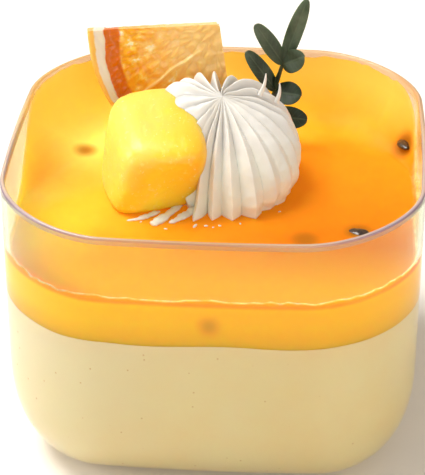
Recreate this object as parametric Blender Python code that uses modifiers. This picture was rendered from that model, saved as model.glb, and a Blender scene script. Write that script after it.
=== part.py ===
"""Passion fruit mousse in a clear rounded-square cup, topped with jelly, cream, mango, orange and a sprig.

The origin is the centre of the cup's foot, +Z is up and -Y is the front. Sizes are in metres.
"""

import math

import bmesh
import bpy
import numpy as np
from mathutils import Matrix, Vector

# Cup
CUP_HEIGHT = 0.0575
RIM_HALF = 0.0400
WALL_FOOT_HALF = 0.0398
RIM_CORNER = 0.0205
FOOT_CORNER = 0.0172
RIM_BOW = 0.0020
FOOT_BOW = 0.0014
ROUND_HEIGHT = 0.0205
ROUND_REACH = 0.0130
ROUND_POWER = 2.35
WALL = 0.0009
RIM_SOFTENING = 0.00025
PLAN_POINTS = 56
ROUND_STEPS = 7
WALL_LEVELS = (0.0300, 0.0440, CUP_HEIGHT)

# Contents
GAP = 0.0003
MOUSSE_TOP = 0.0351
JELLY_TOP = 0.0442

# The jelly's edge climbs the wall: a little in front, a rounded cove along the back
EDGE_RISE, EDGE_REACH = 0.0009, 0.0008
COVE_RISE, COVE_REACH, COVE_FILM = 0.0112, 0.0095, 0.0003
COVE_MIDDLE, COVE_SKEW, COVE_SPAN = 0.0125, 0.0065, 0.0210
COVE_STEPS = 6

# Cream dollop, from its base's centre on the jelly
CREAM_AT = (0.0010, 0.0047)
CREAM_APEX_SHIFT = (-0.0007, 0.0020)
FRONT_CRESTS = (-160, -138, -121, -109, -97, -82, -62, -45, -27)
BACK_CRESTS = (-10, 5, 22, 36, 55, 80, 99, 118, 134, 151, 174)
RIDGE_CRESTS = np.radians(FRONT_CRESTS + BACK_CRESTS)
RIDGE_TOES = np.array((0, -20, -12, 23, 6, 1, 3, -9, -4, -3, -5, 0, 0, 0, 0, 0, 0, 0, 0, 0)) * 0.0001
POINTS_PER_RIDGE = 8
CREAM_LEVELS = 13
CREAM_FRONT = (
    (0.0154, 0.0005),
    (0.0150, 0.0024),
    (0.0137, 0.0060),
    (0.0110, 0.0100),
    (0.0074, 0.0138),
    (0.0033, 0.0168),
    (0.0, 0.0185),
)
CREAM_SIDE = (
    (0.0130, 0.0005),
    (0.0152, 0.0042),
    (0.0153, 0.0086),
    (0.0129, 0.0129),
    (0.0086, 0.0158),
    (0.0040, 0.0173),
    (0.0, 0.0185),
)
CREAM_BACK = (
    (0.0138, 0.0005),
    (0.0152, 0.0050),
    (0.0160, 0.0108),
    (0.0152, 0.0161),
    (0.0112, 0.0196),
    (0.0052, 0.0192),
    (0.0, 0.0185),
)
CREAM_LEFT = (
    (0.0115, 0.0005),
    (0.0112, 0.0045),
    (0.0104, 0.0090),
    (0.0094, 0.0125),
    (0.0072, 0.0154),
    (0.0036, 0.0173),
    (0.0, 0.0185),
)
CREAM_FACES = np.radians((-82, 5, 115, -155))

# At these headings in degrees: a ridge's depth and how far it swells out, how high up it swells, how far it
# turns on its way up, how thin it is and how far its crest leans to the front
CREAM_HEADINGS = (-200, -160, -106, -77, -61, -44, -20, 6, 23, 41, 61, 76, 88, 113, 130, 149, 160)
RIDGE_DEPTHS = np.array((3, 5, 21, 23, 17, 10, 8, 14, 50, 52, 52, 50, 46, 40, 25, 16, 3)) * 0.0001
RIDGE_SWELLS = np.array((6, 0, 0, 0, 0, 0, -6, -4, 2, 13, 14, 0, -2, -3, 8, 26, 6)) * 0.0001
SWELL_BENDS = (1.0, 0.8, 0.8, 0.8, 0.8, 0.8, 0.8, 0.8, 0.8, 0.8, 0.8, 0.8, 0.8, 0.8, 0.9, 1.0, 1.0)
RIDGE_TURNS = (0.1, 0.1, 0.06, 0.05, 0.06, 0.1, 0.28, 0.75, 0.95, 0.95, 0.75, 0.5, 0.4, 0.2, 0.15, 0.1, 0.1)
RIDGE_THINNESS = (0.8, 0.8, 0.8, 0.8, 0.8, 0.8, 0.7, 0.8, 1.1, 1.3, 1.4, 1.6, 1.9, 1.9, 1.5, 1.2, 0.8)
RIDGE_LEANS = (1, 1, 1, 1, 1, 1, 0.95, 0.85, 0.8, 0.8, 0.85, 0.95, 1, 1, 1, 1, 1)
DEPTH_SHARE_OF_RADIUS, FRONT_SHARE_LESS = 0.42, 0.24
DEPTH_SHARE_OF_WIDTH = 1.2

# Fingers of cream drawn out along the jelly: root, tip (both from the dollop's centre) and root radius
CREAM_WISPS = (
    ((-0.0030, -0.0127), (-0.0175, -0.0153), 0.0016),
    ((-0.0030, -0.0109), (-0.0130, -0.0184), 0.0021),
    ((-0.0020, -0.0117), (-0.0074, -0.0173), 0.0014),
)
WISP_SIDES = 8
WISP_TIP_RADIUS = 0.0003
WISP_FLATNESS = 0.55

# Mango block, between the cream and the left wall: its eight corners from its middle, its bottom flat
MANGO_AT = (-0.0124, 0.0029, 0.0517)
MANGO_ROUND = 0.0042
MANGO_CORNERS = {
    (-1, -1, -1): (-0.0072, -0.0135, -0.0093),
    (1, -1, -1): (0.0090, -0.0063, -0.0093),
    (-1, 1, -1): (-0.0130, 0.0013, -0.0093),
    (1, 1, -1): (0.0058, 0.0113, -0.0093),
    (-1, -1, 1): (-0.0044, -0.0143, 0.0075),
    (1, -1, 1): (0.0128, -0.0135, 0.0076),
    (-1, 1, 1): (-0.0110, 0.0090, 0.0101),
    (1, 1, 1): (0.0056, 0.0151, 0.0104),
}

# Orange piece, a little more than a quarter of a slice, stood on its rind
ORANGE_RADIUS = 0.0266
ORANGE_CENTRE = (-0.0018, 0.0268, 0.0689)
ORANGE_TURN = math.radians(8)
ORANGE_LEAN = math.radians(15)
ORANGE_START = math.radians(181)
ORANGE_END = math.radians(277)
ORANGE_STEPS = 24
RIND_WIDTH = 0.0012
PITH_WIDTH = 0.0018
RIND_THICK = 0.0042
HOLLOW_THICK = 0.0024
FLESH_THICK = 0.0032
MEMBRANE_SLOPE, MEMBRANE_LEVEL = 0.687, -0.00246
MEMBRANE_RISE, MEMBRANE_SPREAD = 0.0003, 0.0009
DRAWN_RADII = (0.0, 0.0208, 0.0235, 0.0252, 0.0266)
DRAWN_OUT = (0.0, 0.0020, 0.0019, 0.00137, 0.0008)

# Sprig: stem points, then each leaf's base, tip, facing and width, all from the stem's foot
STEM_RADIUS = 0.00050
SPRIG_AT = (0.0070, 0.0229, 0.0442)
STEM_POINTS = (
    (-0.0005, 0.0, -0.0026),
    (0.0, 0.0, 0.0008),
    (0.0012, 0.0, 0.0061),
    (0.0029, -0.0001, 0.0122),
    (0.0045, -0.0001, 0.0184),
)
LEAF_THICK = 0.00045
LEAVES = (
    ((0.0045, -0.0001, 0.0178), (0.0091, 0.0005, 0.0319), (-0.25, -0.95, 0.20), 0.0034),
    ((0.0044, -0.0001, 0.0179), (-0.0012, -0.0006, 0.0267), (0.25, -0.85, 0.45), 0.0036),
    ((0.0043, -0.0001, 0.0176), (0.0088, -0.0024, 0.0208), (0.07, -0.85, 0.52), 0.0047),
    ((0.0030, -0.0001, 0.0119), (-0.0030, -0.0004, 0.0206), (0.30, -0.85, 0.40), 0.0035),
    ((0.0030, -0.0001, 0.0120), (0.0042, 0.0011, 0.0171), (-0.95, 0.20, 0.20), 0.0030),
    ((0.0027, -0.0001, 0.0115), (0.0083, -0.0024, 0.0119), (0.07, -0.75, 0.65), 0.0050),
    ((0.0011, 0.0000, 0.0058), (0.0096, -0.0009, 0.0057), (0.07, -0.75, 0.65), 0.0048),
)
LEAF_FOLD = 0.10
LEAF_CURL = 0.10
LEAF_END_SHARE = 0.10

COLOURS = {
    "cup": ((0.95, 0.93, 0.94, 1.0), 0.05, 1.0),
    "mousse": ((0.83, 0.70, 0.44, 1.0), 0.55, 0.0),
    "jelly": ((0.98, 0.52, 0.05, 1.0), 0.12, 0.0),
    "cream": ((0.96, 0.94, 0.90, 1.0), 0.45, 0.0),
    "mango": ((0.98, 0.74, 0.08, 1.0), 0.30, 0.0),
    "orange": ((0.95, 0.42, 0.05, 1.0), 0.30, 0.0),
    "leaf": ((0.05, 0.12, 0.03, 1.0), 0.35, 0.0),
}


def clear_scene():
    for old in list(bpy.data.objects):
        bpy.data.objects.remove(old)


def make_collection(name):
    collection = bpy.data.collections.new(name)
    bpy.context.scene.collection.children.link(collection)
    return collection


def make_material(name):
    colour, roughness, transmission = COLOURS[name]
    material = bpy.data.materials.new(name)
    material.use_nodes = True
    shader = material.node_tree.nodes["Principled BSDF"]
    shader.inputs["Base Color"].default_value = colour
    shader.inputs["Roughness"].default_value = roughness
    shader.inputs["Metallic"].default_value = 0.0
    shader.inputs["Transmission Weight"].default_value = transmission
    return material


def make_object(name, bm, collection, material, smooth_angle=math.radians(40)):
    mesh = bpy.data.meshes.new(name)
    bmesh.ops.recalc_face_normals(bm, faces=bm.faces)
    bm.to_mesh(mesh)
    bm.free()
    mesh.shade_smooth()
    mesh.set_sharp_from_angle(angle=smooth_angle)
    if material:
        mesh.materials.append(material)
    made = bpy.data.objects.new(name, mesh)
    collection.objects.link(made)
    return made


def place(item, location, rotation=(0, 0, 0)):
    item.location = location
    item.rotation_euler = rotation


def make_cutter(name, bm, collection):
    cutter = make_object(name, bm, collection, None)
    cutter.hide_render = True
    cutter.display_type = "WIRE"
    return cutter


def cut(target, cutter):
    boolean = target.modifiers.new("cut_by_" + cutter.name, "BOOLEAN")
    boolean.operation = "DIFFERENCE"
    boolean.solver = "EXACT"
    boolean.object = cutter


def plan_outline(half, corner, bow):
    """Points of a rounded square of this half width, whose sides swell outwards by bow at their middles."""
    inner = half - bow
    flat = inner - corner
    quarter = PLAN_POINTS // 4
    on_arc = round(0.6 * quarter)
    turn = np.linspace(0, math.pi / 2, on_arc, endpoint=False)
    along = np.linspace(flat, -flat, quarter - on_arc, endpoint=False)
    arc = np.column_stack((flat + corner * np.cos(turn), flat + corner * np.sin(turn)))
    side = np.column_stack((along, np.full(len(along), inner)))
    first = np.vstack((arc, side))
    points = []
    for quarter_turn in range(4):
        c, s = round(math.cos(quarter_turn * math.pi / 2)), round(math.sin(quarter_turn * math.pi / 2))
        points.append(first @ np.array(((c, s), (-s, c))))
    points = np.vstack(points)
    share = np.clip(np.abs(points) / inner, 0, 1)
    push = bow * (1 - share[:, ::-1] ** 2) * share**4
    return points + np.sign(points) * push


def round_levels():
    """Heights up the rounded foot, closest where it turns most."""
    turn = np.linspace(0, math.pi / 2, ROUND_STEPS + 1)
    return ROUND_HEIGHT * (1 - np.cos(turn) ** (2 / ROUND_POWER))


def section_at(height, inset=0.0):
    """Half width, corner radius and bow of the cup's outside at a height, or of a surface set in from it."""
    z = np.union1d(round_levels(), np.linspace(0, CUP_HEIGHT, 240))
    share = z / CUP_HEIGHT
    below = np.clip(1 - z / ROUND_HEIGHT, 0, 1)
    pull = ROUND_REACH * (1 - (1 - below**ROUND_POWER) ** (1 / ROUND_POWER))
    half = WALL_FOOT_HALF + (RIM_HALF - WALL_FOOT_HALF) * share - pull
    corner = FOOT_CORNER + (RIM_CORNER - FOOT_CORNER) * share - pull
    run = np.gradient(half)
    rise = np.gradient(z)
    length = np.hypot(run, rise)
    out, down = rise / length, run / length
    level = z + inset * down
    moved_half = half - inset * out
    moved_corner = corner - inset * out
    bow = FOOT_BOW + (RIM_BOW - FOOT_BOW) * height / CUP_HEIGHT
    return float(np.interp(height, level, moved_half)), float(np.interp(height, level, moved_corner)), bow


def ring_at(height, inset=0.0):
    outline = plan_outline(*section_at(height, inset))
    return [(x, y, height) for x, y in outline]


def loft(rings, close_bottom=True, close_top=True):
    """A skin over rings that have the same number of points, each one above the last."""
    bm = bmesh.new()
    rows = [[bm.verts.new(point) for point in ring] for ring in rings]
    for lower, upper in zip(rows, rows[1:]):
        for i in range(len(lower)):
            j = (i + 1) % len(lower)
            bm.faces.new((lower[i], lower[j], upper[j], upper[i]))
    if close_bottom:
        bm.faces.new(rows[0][::-1])
    if close_top:
        bm.faces.new(rows[-1])
    return bm


def make_cup(collection):
    """An open skin with a flat foot, thickened inwards, its rim's two edges softened."""
    levels = list(round_levels()) + list(WALL_LEVELS)
    bm = loft([ring_at(z) for z in levels], close_top=False)
    cup = make_object("cup", bm, collection, make_material("cup"))
    shell = cup.modifiers.new("wall", "SOLIDIFY")
    shell.thickness = WALL
    shell.offset = -1
    shell.use_even_offset = True
    edge = cup.modifiers.new("rim", "BEVEL")
    edge.width = RIM_SOFTENING
    edge.segments = 1
    edge.limit_method = "ANGLE"
    edge.angle_limit = math.radians(60)
    return cup


def make_mousse(collection):
    """The pale layer, which fills the cup's rounded foot and stops under the jelly."""
    inset = WALL + GAP
    levels = [inset + 0.0001] + [z + inset for z in round_levels()[1:]] + [MOUSSE_TOP]
    rings = [ring_at(z, inset) for z in levels]
    return make_object("mousse", loft(rings), collection, make_material("mousse"))


def cove_share(edge):
    """0 along the front wall and 1 along the back one, rising smoothly on the sides, sooner on the left."""
    middle = COVE_MIDDLE + COVE_SKEW * edge[:, 0] / RIM_HALF
    share = np.clip((edge[:, 1] - middle) / COVE_SPAN + 0.5, 0, 1)
    return share**2 * (3 - 2 * share)


def make_jelly(collection):
    """The jelly: a slab whose top's edge climbs the wall as a quarter of an ellipse, high along the back."""
    inset = WALL + GAP
    rings = [ring_at(z, inset) for z in (MOUSSE_TOP + GAP, (MOUSSE_TOP + JELLY_TOP) / 2, JELLY_TOP)]
    low, low_deep = np.array(rings[-1]), np.array(ring_at(JELLY_TOP, inset + 0.001))
    high, high_deep = np.array(ring_at(CUP_HEIGHT, inset)), np.array(ring_at(CUP_HEIGHT, inset + 0.001))
    back = cove_share(low)
    rise, reach = EDGE_RISE + back * COVE_RISE, EDGE_REACH + back * COVE_REACH
    for turn in np.linspace(0, math.pi / 2, COVE_STEPS + 1):
        part = (rise * (1 - math.sin(turn)) / (CUP_HEIGHT - JELLY_TOP))[:, None]
        film = COVE_FILM * (1 - math.exp(-turn / 0.10)) * (1 - math.sin(turn) ** 4)
        depth = (film + reach * (1 - math.cos(turn)))[:, None] / 0.001
        near, deep = low + (high - low) * part, low_deep + (high_deep - low_deep) * part
        rings.append([tuple(point) for point in near + (deep - near) * depth])
    return make_object("jelly", loft(rings), collection, make_material("jelly"))


def smooth_profile(points, count):
    """Catmull-Rom curve through (radius, height) points, sampled evenly in its parameter."""
    p = np.array(points)
    p = np.vstack((2 * p[0] - p[1], p, 2 * p[-1] - p[-2]))
    place = np.linspace(0, len(points) - 1, count)
    i = np.minimum(place.astype(int), len(points) - 2)
    t = (place - i)[:, None]
    a, b, c, d = p[i], p[i + 1], p[i + 2], p[i + 3]
    return 0.5 * (2 * b + (c - a) * t + (2 * a - 5 * b + 4 * c - d) * t**2 + (3 * b - a - 3 * c + d) * t**3)


def facing_shares(angle):
    """How far each direction belongs to the cream's pleated front, right side, lobed back and left side."""
    share = np.clip(np.cos(np.asarray(angle)[:, None] - CREAM_FACES), 0.02, 1)
    return share / share.sum(axis=1, keepdims=True)


def ridge_angles():
    """For every point round the cream: its angle, its place across its ridge, the ridge's width."""
    turn = 2 * math.pi
    after = np.append(RIDGE_CRESTS, RIDGE_CRESTS[0] + turn)
    edge = (after[:-1] + after[1:]) / 2
    start = np.concatenate(([edge[-1] - turn], edge[:-1]))
    across = np.arange(POINTS_PER_RIDGE) / POINTS_PER_RIDGE
    angle = start[:, None] + (edge - start)[:, None] * across
    width = np.repeat(edge - start, POINTS_PER_RIDGE)
    return angle.ravel(), np.tile(across, len(RIDGE_CRESTS)), width


def make_cream(collection):
    """A piped dollop: four profiles blended round the axis, with ridges run from the foot to the apex.

    The front's crests are sharp with rounded flutes; the others are round ropes with sharp grooves.
    """
    angle, across, width = ridge_angles()
    shares = facing_shares(angle)
    heading = (np.degrees(angle) + 200) % 360 - 200
    sharp = (1 - np.abs(2 * across - 1)) ** 1.5
    thinness = np.interp(heading, CREAM_HEADINGS, RIDGE_THINNESS)
    lean = np.interp(heading, CREAM_HEADINGS, RIDGE_LEANS)
    rounded = np.abs(np.sin(math.pi * across**lean)) ** thinness
    crest = shares[:, 0] * sharp + (1 - shares[:, 0]) * rounded
    sides = (CREAM_FRONT, CREAM_SIDE, CREAM_BACK, CREAM_LEFT)
    curves = np.stack([smooth_profile(points, CREAM_LEVELS) for points in sides])
    profile = np.einsum("as,skc->akc", shares, curves)
    slope = np.gradient(profile, axis=1)
    length = np.linalg.norm(slope, axis=2)
    normal = np.stack((slope[..., 1], -slope[..., 0]), axis=2) / length[..., None]
    climb = np.linspace(0, 1, CREAM_LEVELS)
    share = DEPTH_SHARE_OF_RADIUS - FRONT_SHARE_LESS * shares[:, 0]
    limit = np.minimum(share, DEPTH_SHARE_OF_WIDTH * width)[:, None]
    depth = np.minimum(np.interp(heading, CREAM_HEADINGS, RIDGE_DEPTHS)[:, None], limit * profile[..., 0])
    height = climb ** np.interp(heading, CREAM_HEADINGS, SWELL_BENDS)[:, None]
    swell = np.interp(heading, CREAM_HEADINGS, RIDGE_SWELLS)[:, None] * np.sin(math.pi * height) ** 1.5
    moved = profile + normal * (swell - depth * (1 - crest[:, None]))[..., None]
    toe = np.repeat(RIDGE_TOES, POINTS_PER_RIDGE) * crest**0.5
    moved[..., 0] += toe[:, None] * np.exp(-climb / 0.10)
    moved[..., 1] = np.maximum(moved[..., 1], 0.0002)
    moved = np.concatenate((moved[:, :1] * (1, 0), moved), axis=1)
    climb = np.concatenate(([0], climb))
    turned = angle[:, None] + np.interp(heading, CREAM_HEADINGS, RIDGE_TURNS)[:, None] * climb**3
    x = CREAM_APEX_SHIFT[0] * climb**2 + moved[..., 0] * np.cos(turned)
    y = CREAM_APEX_SHIFT[1] * climb**2 + moved[..., 0] * np.sin(turned)
    z = moved[..., 1]
    rings = [list(zip(x[:, k], y[:, k], z[:, k])) for k in range(CREAM_LEVELS)]
    bm = loft(rings, close_top=False)
    bm.verts.ensure_lookup_table()
    last = bm.verts[-len(angle):]
    apex = bm.verts.new((x[0, -1], y[0, -1], z[0, -1]))
    for i in range(len(angle)):
        bm.faces.new((last[i], last[(i + 1) % len(angle)], apex))
    cream = make_object("cream", bm, collection, make_material("cream"))
    fuse(cream, [wisp_mesh(*wisp) for wisp in CREAM_WISPS], "wisp")
    place(cream, (*CREAM_AT, JELLY_TOP + GAP))
    return cream


def wisp_mesh(root, tip, radius):
    """A tapered finger lying beside the dollop, its underside cut flat."""
    bm = bmesh.new()
    span = Vector((*tip, 0)) - Vector((*root, 0))
    bmesh.ops.create_cone(
        bm, cap_ends=True, segments=WISP_SIDES, radius1=radius, radius2=WISP_TIP_RADIUS, depth=span.length
    )
    turn = Matrix.Rotation(math.atan2(span.y, span.x), 4, "Z") @ Matrix.Rotation(math.pi / 2, 4, "Y")
    middle = Vector((*root, WISP_FLATNESS * radius / 4)) + span / 2
    flat = Matrix.Diagonal((1, 1, WISP_FLATNESS, 1))
    bmesh.ops.transform(bm, matrix=Matrix.Translation(middle) @ flat @ turn, verts=bm.verts)
    flatten_under(bm, 0)
    return bm


def flatten_under(bm, height):
    """Cuts everything below a height away and closes the cut."""
    everything = bm.verts[:] + bm.edges[:] + bm.faces[:]
    down = (0, 0, -1)
    sliced = bmesh.ops.bisect_plane(
        bm, geom=everything, plane_co=(0, 0, height), plane_no=down, clear_outer=True
    )
    rim = [item for item in sliced["geom_cut"] if isinstance(item, bmesh.types.BMEdge)]
    bmesh.ops.contextual_create(bm, geom=rim)


def fuse(target, additions, name, thickness=0.0):
    """Joins closed or thickened meshes to an object as one solid."""
    group = make_collection(name)
    for number, bm in enumerate(additions, 1):
        addition = make_object(f"{name}_{number}", bm, group, target.data.materials[0])
        if thickness:
            skin = addition.modifiers.new("thickness", "SOLIDIFY")
            skin.thickness = thickness
            skin.offset = 0
            triangles = addition.modifiers.new("triangles", "TRIANGULATE")
            triangles.quad_method = "FIXED"
    join = target.modifiers.new("join", "BOOLEAN")
    join.operation = "UNION"
    join.operand_type = "COLLECTION"
    join.collection = group
    join.solver = "MANIFOLD"
    bpy.context.view_layer.update()
    joined = bpy.data.meshes.new_from_object(target.evaluated_get(bpy.context.evaluated_depsgraph_get()))
    target.modifiers.clear()
    target.data = joined
    for addition in list(group.objects):
        bpy.data.objects.remove(addition)
    bpy.data.collections.remove(group)


def mango_block(swell=0.0):
    """A cut block with eight uneven corners, grown on every side by swell, its bottom flat on the jelly."""
    bm = bmesh.new()
    bmesh.ops.create_cube(bm, size=2)
    for vert in bm.verts:
        signs = tuple(round(value) for value in vert.co)
        vert.co = [corner + sign * swell for sign, corner in zip(signs, MANGO_CORNERS[signs])]
    bmesh.ops.bevel(
        bm,
        geom=bm.edges[:],
        offset=MANGO_ROUND + swell,
        segments=4,
        profile=0.5,
        affect="EDGES",
        clamp_overlap=True,
    )
    flatten_under(bm, JELLY_TOP + GAP - MANGO_AT[2] - swell)
    return bm


def place_mango(mango):
    place(mango, MANGO_AT)


def place_orange(piece):
    """Stands the slice, made in its own X-Z plane, turned a little and leaning back."""
    place(piece, ORANGE_CENTRE, (-ORANGE_LEAN, 0, ORANGE_TURN))


def orange_slice(swell=0.0):
    """The slice's half section, spun about its centre: thin flesh, a hollow beside the pith, a proud rind.

    The rind's lower left side and the membrane are drawn out of the spun form.
    """
    pith_in = ORANGE_RADIUS - RIND_WIDTH - PITH_WIDTH
    steps = (
        (0.0004, FLESH_THICK),
        (0.45 * pith_in, FLESH_THICK),
        (0.80 * pith_in, FLESH_THICK),
        (pith_in - 0.0012, HOLLOW_THICK),
        (pith_in, RIND_THICK * 0.92),
        (ORANGE_RADIUS - RIND_WIDTH, RIND_THICK),
        (ORANGE_RADIUS + swell, RIND_THICK * 0.72),
    )
    upper = [(r, thick / 2 + swell) for r, thick in steps]
    outline = upper + [(r, -n) for r, n in reversed(upper)]
    start = ORANGE_START - swell / ORANGE_RADIUS
    end = ORANGE_END + swell / ORANGE_RADIUS
    bm = bmesh.new()
    verts = [bm.verts.new((r * math.cos(start), -n, r * math.sin(start))) for r, n in outline]
    section = bm.faces.new(verts)
    bmesh.ops.spin(
        bm,
        geom=bm.verts[:] + bm.edges[:] + [section],
        cent=(0, 0, 0),
        axis=(0, -1, 0),
        angle=end - start,
        steps=ORANGE_STEPS,
        use_duplicate=False,
    )
    for vert in bm.verts:
        draw_out(vert, pith_in)
    return bm


def draw_out(vert, pith_in):
    """Pulls the rind's lower left side out nearly straight and lifts the flesh along its membrane."""
    radius, angle = math.hypot(vert.co.x, vert.co.z), math.degrees(math.atan2(vert.co.z, vert.co.x)) % 360
    share = min(max((angle - 187) / 27, 0), 1) * min(max((262 - angle) / 30, 0), 1)
    stretch = 1 + share * float(np.interp(radius, DRAWN_RADII, DRAWN_OUT)) / radius
    vert.co.x, vert.co.z = vert.co.x * stretch, vert.co.z * stretch
    off = abs(vert.co.z - MEMBRANE_SLOPE * vert.co.x - MEMBRANE_LEVEL) / math.hypot(1, MEMBRANE_SLOPE)
    if radius < pith_in - 0.0002:
        vert.co.y += math.copysign(MEMBRANE_RISE * math.exp(-((off / MEMBRANE_SPREAD) ** 2)), vert.co.y)


def leaf_blade(base, tip, facing, width):
    """An oval blade laid on a grid, folded up along its midrib and curled back towards its tip."""
    base, tip = Vector(base), Vector(tip)
    length = (tip - base).length
    along = (tip - base).normalized()
    side = Vector(facing).cross(along).normalized()
    up = along.cross(side)
    bm = bmesh.new()
    bmesh.ops.create_grid(bm, x_segments=8, y_segments=4, size=1)
    for vert in bm.verts:
        share = (vert.co.x + 1) / 2
        across = vert.co.y
        swell = math.sqrt(max(1 - (2 * share - 1) ** 2, 0))
        reach = LEAF_END_SHARE + (1 - LEAF_END_SHARE) * swell
        lift = LEAF_FOLD * width * abs(across) * reach - LEAF_CURL * length * share**2
        wave = 0.03 * width * math.sin(9 * share + 2 * across)
        spot = along * (length * share) + side * (across * reach * width / 2) + up * (lift + wave)
        vert.co = base + spot + up * (LEAF_CURL * length * share)
    return bm


def stem_mesh(swell=0.0):
    """The stem's round tube, made a mesh with its caps welded."""
    curve = bpy.data.curves.new("stem", "CURVE")
    curve.dimensions = "3D"
    curve.bevel_depth = STEM_RADIUS + swell
    curve.bevel_resolution = 2
    curve.use_fill_caps = True
    line = curve.splines.new("POLY")
    line.points.add(len(STEM_POINTS) - 1)
    for point, place in zip(line.points, STEM_POINTS):
        point.co = (*place, 1)
    guide = bpy.data.objects.new("stem", curve)
    bpy.context.scene.collection.objects.link(guide)
    bpy.context.view_layer.update()
    graph = bpy.context.evaluated_depsgraph_get()
    mesh = bpy.data.meshes.new_from_object(guide.evaluated_get(graph))
    bm = bmesh.new()
    bm.from_mesh(mesh)
    bmesh.ops.remove_doubles(bm, verts=bm.verts, dist=1e-6)
    bpy.data.objects.remove(guide)
    return bm


def make_sprig(collection):
    """The stem with its leaves fused on as one solid."""
    sprig = make_object("leaf_sprig", stem_mesh(), collection, make_material("leaf"))
    fuse(sprig, [leaf_blade(*leaf) for leaf in LEAVES], "blade", LEAF_THICK)
    place(sprig, SPRIG_AT)
    return sprig


def main():
    clear_scene()
    parts = make_collection("passion_fruit_mousse")
    cutters = make_collection("cutters")
    make_cup(parts)
    make_mousse(parts)
    jelly = make_jelly(parts)
    cream = make_cream(parts)
    place_mango(make_object("mango", mango_block(), parts, make_material("mango")))
    place_orange(make_object("orange_slice", orange_slice(), parts, make_material("orange")))
    make_sprig(parts)
    around_mango = make_cutter("around_mango", mango_block(GAP), cutters)
    around_orange = make_cutter("around_orange", orange_slice(GAP), cutters)
    around_stem = make_cutter("around_stem", stem_mesh(GAP), cutters)
    place_mango(around_mango)
    place_orange(around_orange)
    place(around_stem, SPRIG_AT)
    cut(cream, around_mango)
    cut(cream, around_orange)
    cut(jelly, around_orange)
    cut(jelly, around_stem)


main()
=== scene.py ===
"""Passion fruit mousse in a clear rounded-square cup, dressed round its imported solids.

The origin is the centre of the cup's foot, +Z is up and -Y is the front. Sizes are in metres.
"""

import math

import bpy
import numpy as np
from mathutils import Matrix, Vector


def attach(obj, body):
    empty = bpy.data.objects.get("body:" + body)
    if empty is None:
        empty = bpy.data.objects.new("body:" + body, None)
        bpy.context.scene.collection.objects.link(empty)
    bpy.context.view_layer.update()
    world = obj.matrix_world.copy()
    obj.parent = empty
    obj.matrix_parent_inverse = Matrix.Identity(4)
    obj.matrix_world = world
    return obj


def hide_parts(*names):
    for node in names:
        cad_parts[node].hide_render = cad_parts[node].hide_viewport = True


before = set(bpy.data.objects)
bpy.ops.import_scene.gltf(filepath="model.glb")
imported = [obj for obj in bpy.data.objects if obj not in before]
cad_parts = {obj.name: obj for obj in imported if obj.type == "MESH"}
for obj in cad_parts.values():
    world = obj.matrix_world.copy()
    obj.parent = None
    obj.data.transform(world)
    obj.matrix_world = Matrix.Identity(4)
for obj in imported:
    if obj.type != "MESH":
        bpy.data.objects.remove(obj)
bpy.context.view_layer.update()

MM = 0.001
TURN = 2 * math.pi

# Cup
CUP_HEIGHT = 57.5 * MM
RIM_HALF, WALL_FOOT_HALF = 40.0 * MM, 39.8 * MM
RIM_CORNER, FOOT_CORNER = 20.5 * MM, 17.2 * MM
RIM_BOW, FOOT_BOW = 2.0 * MM, 1.4 * MM
ROUND_HEIGHT, ROUND_REACH, ROUND_POWER = 20.5 * MM, 13.0 * MM, 2.35
WALL = 0.9 * MM
ROUND_ROWS, WALL_ROWS, LIP_ROWS, FOOT_ROWS = 26, 30, 8, 12
QUARTER_POINTS = 60

# Contents
INTO_WALL = 0.08 * MM
MOUSSE_TOP, JELLY_TOP, GAP = 35.1 * MM, 44.2 * MM, 0.3 * MM
MENISCUS_RISE, MENISCUS_REACH = 0.9 * MM, 0.8 * MM
COVE_RISE, COVE_REACH, COVE_FILM = 11.2 * MM, 9.5 * MM, 0.30 * MM
COVE_MIDDLE, COVE_SKEW, COVE_SPAN = 12.5 * MM, 6.5 * MM, 21 * MM

# Cream
CREAM_AT = (1.0 * MM, 4.7 * MM)
CREAM_APEX_SHIFT = (-0.7 * MM, 2.0 * MM)
FRONT_CRESTS = (-160, -138, -121, -109, -97, -82, -62, -45, -27)
BACK_CRESTS = (-10, 5, 22, 36, 55, 80, 99, 118, 134, 151, 174)
RIDGE_CRESTS = np.radians(FRONT_CRESTS + BACK_CRESTS)
CREAM_TOES = (0, -2.0, -1.2, 2.3, 0.6, 0.1, 0.3, -0.9, -0.4, -0.3, -0.5, 0, 0, 0, 0, 0, 0, 0, 0, 0)
POINTS_PER_RIDGE, CREAM_ROWS = 16, 64
CREAM_FRONT = ((15.4, 0.5), (15.0, 2.4), (13.7, 6.0), (11.0, 10.0), (7.4, 13.8), (3.3, 16.8), (0, 18.5))
CREAM_SIDE = ((13.0, 0.5), (15.2, 4.2), (15.3, 8.6), (12.9, 12.9), (8.6, 15.8), (4.0, 17.3), (0, 18.5))
CREAM_BACK = ((13.8, 0.5), (15.2, 5.0), (16.0, 10.8), (15.2, 16.1), (11.2, 19.6), (5.2, 19.2), (0, 18.5))
CREAM_LEFT = ((11.5, 0.5), (11.2, 4.5), (10.4, 9.0), (9.4, 12.5), (7.2, 15.4), (3.6, 17.3), (0, 18.5))
CREAM_FACES = np.radians((-82, 5, 115, -155))
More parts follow.
